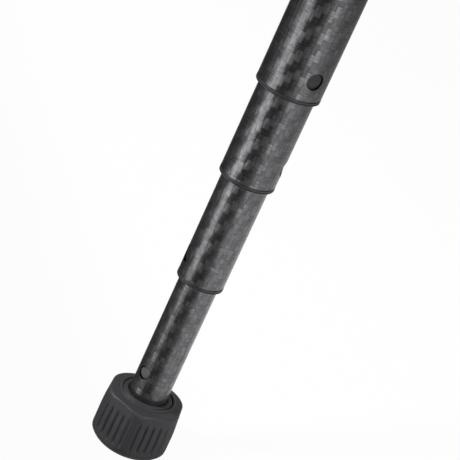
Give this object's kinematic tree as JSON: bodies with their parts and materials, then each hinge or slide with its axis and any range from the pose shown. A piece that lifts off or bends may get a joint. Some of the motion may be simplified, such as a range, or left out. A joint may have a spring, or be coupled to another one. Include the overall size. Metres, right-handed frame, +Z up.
{
  "type": "camera tripod",
  "caption": "Folding camera tripod: nested carbon legs with rubber feet, a sliding centre column, and a ball head with a quick release plate and camera screw.",
  "frame": {"origin": "the camera's seat: the top of the quick plate where the camera screw leaves it, on the column's axis", "axes": "+Z up along the column and the camera screw; leg 1 spreads towards -X"},
  "size_m": [0.349, 0.3982, 0.5488],
  "materials": {
    "carbon": "satin",
    "black_metal": "satin",
    "grey_metal": "satin",
    "steel": "satin",
    "black_plastic": "satin",
    "rubber": "matte"
  },
  "bodies": {
    "crown": {"crown": "black_metal", "leg_pivot_bolts": "steel", "column_bushing": "black_plastic"},
    "column_collar": {"column_collar": "black_metal"},
    "column": {"column_tube": "carbon", "ballast_hook": "black_metal", "head_base": "black_metal"},
    "head": {"ball_housing": "black_metal"},
    "ball_knob": {"ball_knob": "black_metal"},
    "ball": {"ball_stem": "grey_metal", "clamp_body": "black_metal"},
    "clamp_jaw": {"clamp_jaw": "black_metal"},
    "clamp_knob": {"clamp_knob": "black_metal"},
    "plate": {"quick_plate": "black_metal"},
    "camera_screw": {"camera_screw": "steel"},
    "leg_1_upper": {"leg_1_hinge_block": "black_metal", "leg_1_tube_1": "carbon", "leg_1_end_sleeve_1": "black_plastic"},
    "leg_1_latch": {"leg_1_angle_latch": "grey_metal"},
    "leg_1_section_2": {"leg_1_tube_2": "carbon", "leg_1_end_sleeve_2": "black_plastic", "leg_1_lock_2": "black_plastic"},
    "leg_1_section_3": {"leg_1_tube_3": "carbon", "leg_1_end_sleeve_3": "black_plastic", "leg_1_lock_3": "black_plastic"},
    "leg_1_expander": {"leg_1_expander_4": "black_plastic"},
    "leg_1_section_4": {"leg_1_tube_4": "carbon", "leg_1_plug_4": "black_plastic", "leg_1_foot_core": "black_plastic", "leg_1_foot_rubber": "rubber"},
    "leg_2_upper": {"leg_2_hinge_block": "black_metal", "leg_2_tube_1": "carbon", "leg_2_end_sleeve_1": "black_plastic"},
    "leg_2_latch": {"leg_2_angle_latch": "grey_metal"},
    "leg_2_section_2": {"leg_2_tube_2": "carbon", "leg_2_end_sleeve_2": "black_plastic", "leg_2_lock_2": "black_plastic"},
    "leg_2_section_3": {"leg_2_tube_3": "carbon", "leg_2_end_sleeve_3": "black_plastic", "leg_2_lock_3": "black_plastic"},
    "leg_2_expander": {"leg_2_expander_4": "black_plastic"},
    "leg_2_section_4": {"leg_2_tube_4": "carbon", "leg_2_plug_4": "black_plastic", "leg_2_foot_core": "black_plastic", "leg_2_foot_rubber": "rubber"},
    "leg_3_upper": {"leg_3_hinge_block": "black_metal", "leg_3_tube_1": "carbon", "leg_3_end_sleeve_1": "black_plastic"},
    "leg_3_latch": {"leg_3_angle_latch": "grey_metal"},
    "leg_3_section_2": {"leg_3_tube_2": "carbon", "leg_3_end_sleeve_2": "black_plastic", "leg_3_lock_2": "black_plastic"},
    "leg_3_section_3": {"leg_3_tube_3": "carbon", "leg_3_end_sleeve_3": "black_plastic", "leg_3_lock_3": "black_plastic"},
    "leg_3_expander": {"leg_3_expander_4": "black_plastic"},
    "leg_3_section_4": {"leg_3_tube_4": "carbon", "leg_3_plug_4": "black_plastic", "leg_3_foot_core": "black_plastic", "leg_3_foot_rubber": "rubber"}
  },
  "joints": [
    {"name": "column_slide", "type": "slide", "parent": "crown", "child": "column", "axis": [0, 0, 1], "range_m": [0, 0.18]},
    {"name": "column_collar_turn", "type": "hinge", "parent": "crown", "child": "column_collar", "pos_m": [0, 0, -0.0796], "axis": [0, 0, 1], "range_deg": [0, 90]},
    {"name": "head_pan", "type": "hinge", "parent": "column", "child": "head", "pos_m": [0, 0, -0.0583], "axis": [0, 0, 1], "continuous": true},
    {"name": "ball_knob_turn", "type": "hinge", "parent": "head", "child": "ball_knob", "pos_m": [0, 0.019, -0.0421], "axis": [0, 1, 0], "range_deg": [0, 270]},
    {"name": "ball_tilt", "type": "hinge", "parent": "head", "child": "ball", "pos_m": [0, 0, -0.0391], "axis": [0, 1, 0], "range_deg": [-35, 90]},
    {"name": "clamp_jaw_slide", "type": "slide", "parent": "ball", "child": "clamp_jaw", "axis": [0, -1, 0], "range_m": [0, 0.003]},
    {"name": "clamp_knob_turn", "type": "hinge", "parent": "clamp_jaw", "child": "clamp_knob", "pos_m": [0, -0.0251, -0.0131], "axis": [0, 1, 0], "range_deg": [0, 1543]},
    {"name": "plate_slide", "type": "slide", "parent": "ball", "child": "plate", "axis": [1, 0, 0], "range_m": [-0.01, 0.01]},
    {"name": "camera_screw_turn", "type": "hinge", "parent": "plate", "child": "camera_screw", "pos_m": [0, 0, 0], "axis": [0, 0, 1], "continuous": true},
    {"name": "leg_1_swing", "type": "hinge", "parent": "crown", "child": "leg_1_upper", "pos_m": [-0.03, 0, -0.0938], "axis": [0, 1, 0], "range_deg": [-22.5, 0]},
    {"name": "leg_1_latch_pull", "type": "slide", "parent": "leg_1_upper", "child": "leg_1_latch", "axis": [-0.9239, 0, 0.3827], "range_m": [0, 0.004], "stiffness_N_per_m": 400, "springref_m": -0.002},
    {"name": "leg_1_slide_2", "type": "slide", "parent": "leg_1_upper", "child": "leg_1_section_2", "axis": [-0.3827, 0, -0.9239], "range_m": [0, 0.259]},
    {"name": "leg_1_slide_3", "type": "slide", "parent": "leg_1_section_2", "child": "leg_1_section_3", "axis": [-0.3827, 0, -0.9239], "range_m": [0, 0.252]},
    {"name": "leg_1_slide_4", "type": "slide", "parent": "leg_1_section_3", "child": "leg_1_expander", "axis": [-0.3827, 0, -0.9239], "range_m": [0, 0.252]},
    {"name": "leg_1_foot_twist", "type": "hinge", "parent": "leg_1_expander", "child": "leg_1_section_4", "pos_m": [-0.0781, 0, -0.20993], "axis": [-0.3827, 0, -0.9239], "range_deg": [0, 120]},
    {"name": "leg_2_swing", "type": "hinge", "parent": "crown", "child": "leg_2_upper", "pos_m": [0.015, -0.02598, -0.0938], "axis": [-0.866, -0.5, 0], "range_deg": [-22.5, 0]},
    {"name": "leg_2_latch_pull", "type": "slide", "parent": "leg_2_upper", "child": "leg_2_latch", "axis": [0.4619, -0.8001, 0.3827], "range_m": [0, 0.004], "stiffness_N_per_m": 400, "springref_m": -0.002},
    {"name": "leg_2_slide_2", "type": "slide", "parent": "leg_2_upper", "child": "leg_2_section_2", "axis": [0.1913, -0.3314, -0.9239], "range_m": [0, 0.259]},
    {"name": "leg_2_slide_3", "type": "slide", "parent": "leg_2_section_2", "child": "leg_2_section_3", "axis": [0.1913, -0.3314, -0.9239], "range_m": [0, 0.252]},
    {"name": "leg_2_slide_4", "type": "slide", "parent": "leg_2_section_3", "child": "leg_2_expander", "axis": [0.1913, -0.3314, -0.9239], "range_m": [0, 0.252]},
    {"name": "leg_2_foot_twist", "type": "hinge", "parent": "leg_2_expander", "child": "leg_2_section_4", "pos_m": [0.03905, -0.06764, -0.20993], "axis": [0.1913, -0.3314, -0.9239], "range_deg": [0, 120]},
    {"name": "leg_3_swing", "type": "hinge", "parent": "crown", "child": "leg_3_upper", "pos_m": [0.015, 0.02598, -0.0938], "axis": [0.866, -0.5, 0], "range_deg": [-22.5, 0]},
    {"name": "leg_3_latch_pull", "type": "slide", "parent": "leg_3_upper", "child": "leg_3_latch", "axis": [0.4619, 0.8001, 0.3827], "range_m": [0, 0.004], "stiffness_N_per_m": 400, "springref_m": -0.002},
    {"name": "leg_3_slide_2", "type": "slide", "parent": "leg_3_upper", "child": "leg_3_section_2", "axis": [0.1913, 0.3314, -0.9239], "range_m": [0, 0.259]},
    {"name": "leg_3_slide_3", "type": "slide", "parent": "leg_3_section_2", "child": "leg_3_section_3", "axis": [0.1913, 0.3314, -0.9239], "range_m": [0, 0.252]},
    {"name": "leg_3_slide_4", "type": "slide", "parent": "leg_3_section_3", "child": "leg_3_expander", "axis": [0.1913, 0.3314, -0.9239], "range_m": [0, 0.252]},
    {"name": "leg_3_foot_twist", "type": "hinge", "parent": "leg_3_expander", "child": "leg_3_section_4", "pos_m": [0.03905, 0.06764, -0.20993], "axis": [0.1913, 0.3314, -0.9239], "range_deg": [0, 120]}
  ],
  "couplings": [
    {"joint": "clamp_knob_turn", "follows": "clamp_jaw_slide", "rad_per_m": 8975.9}
  ]
}
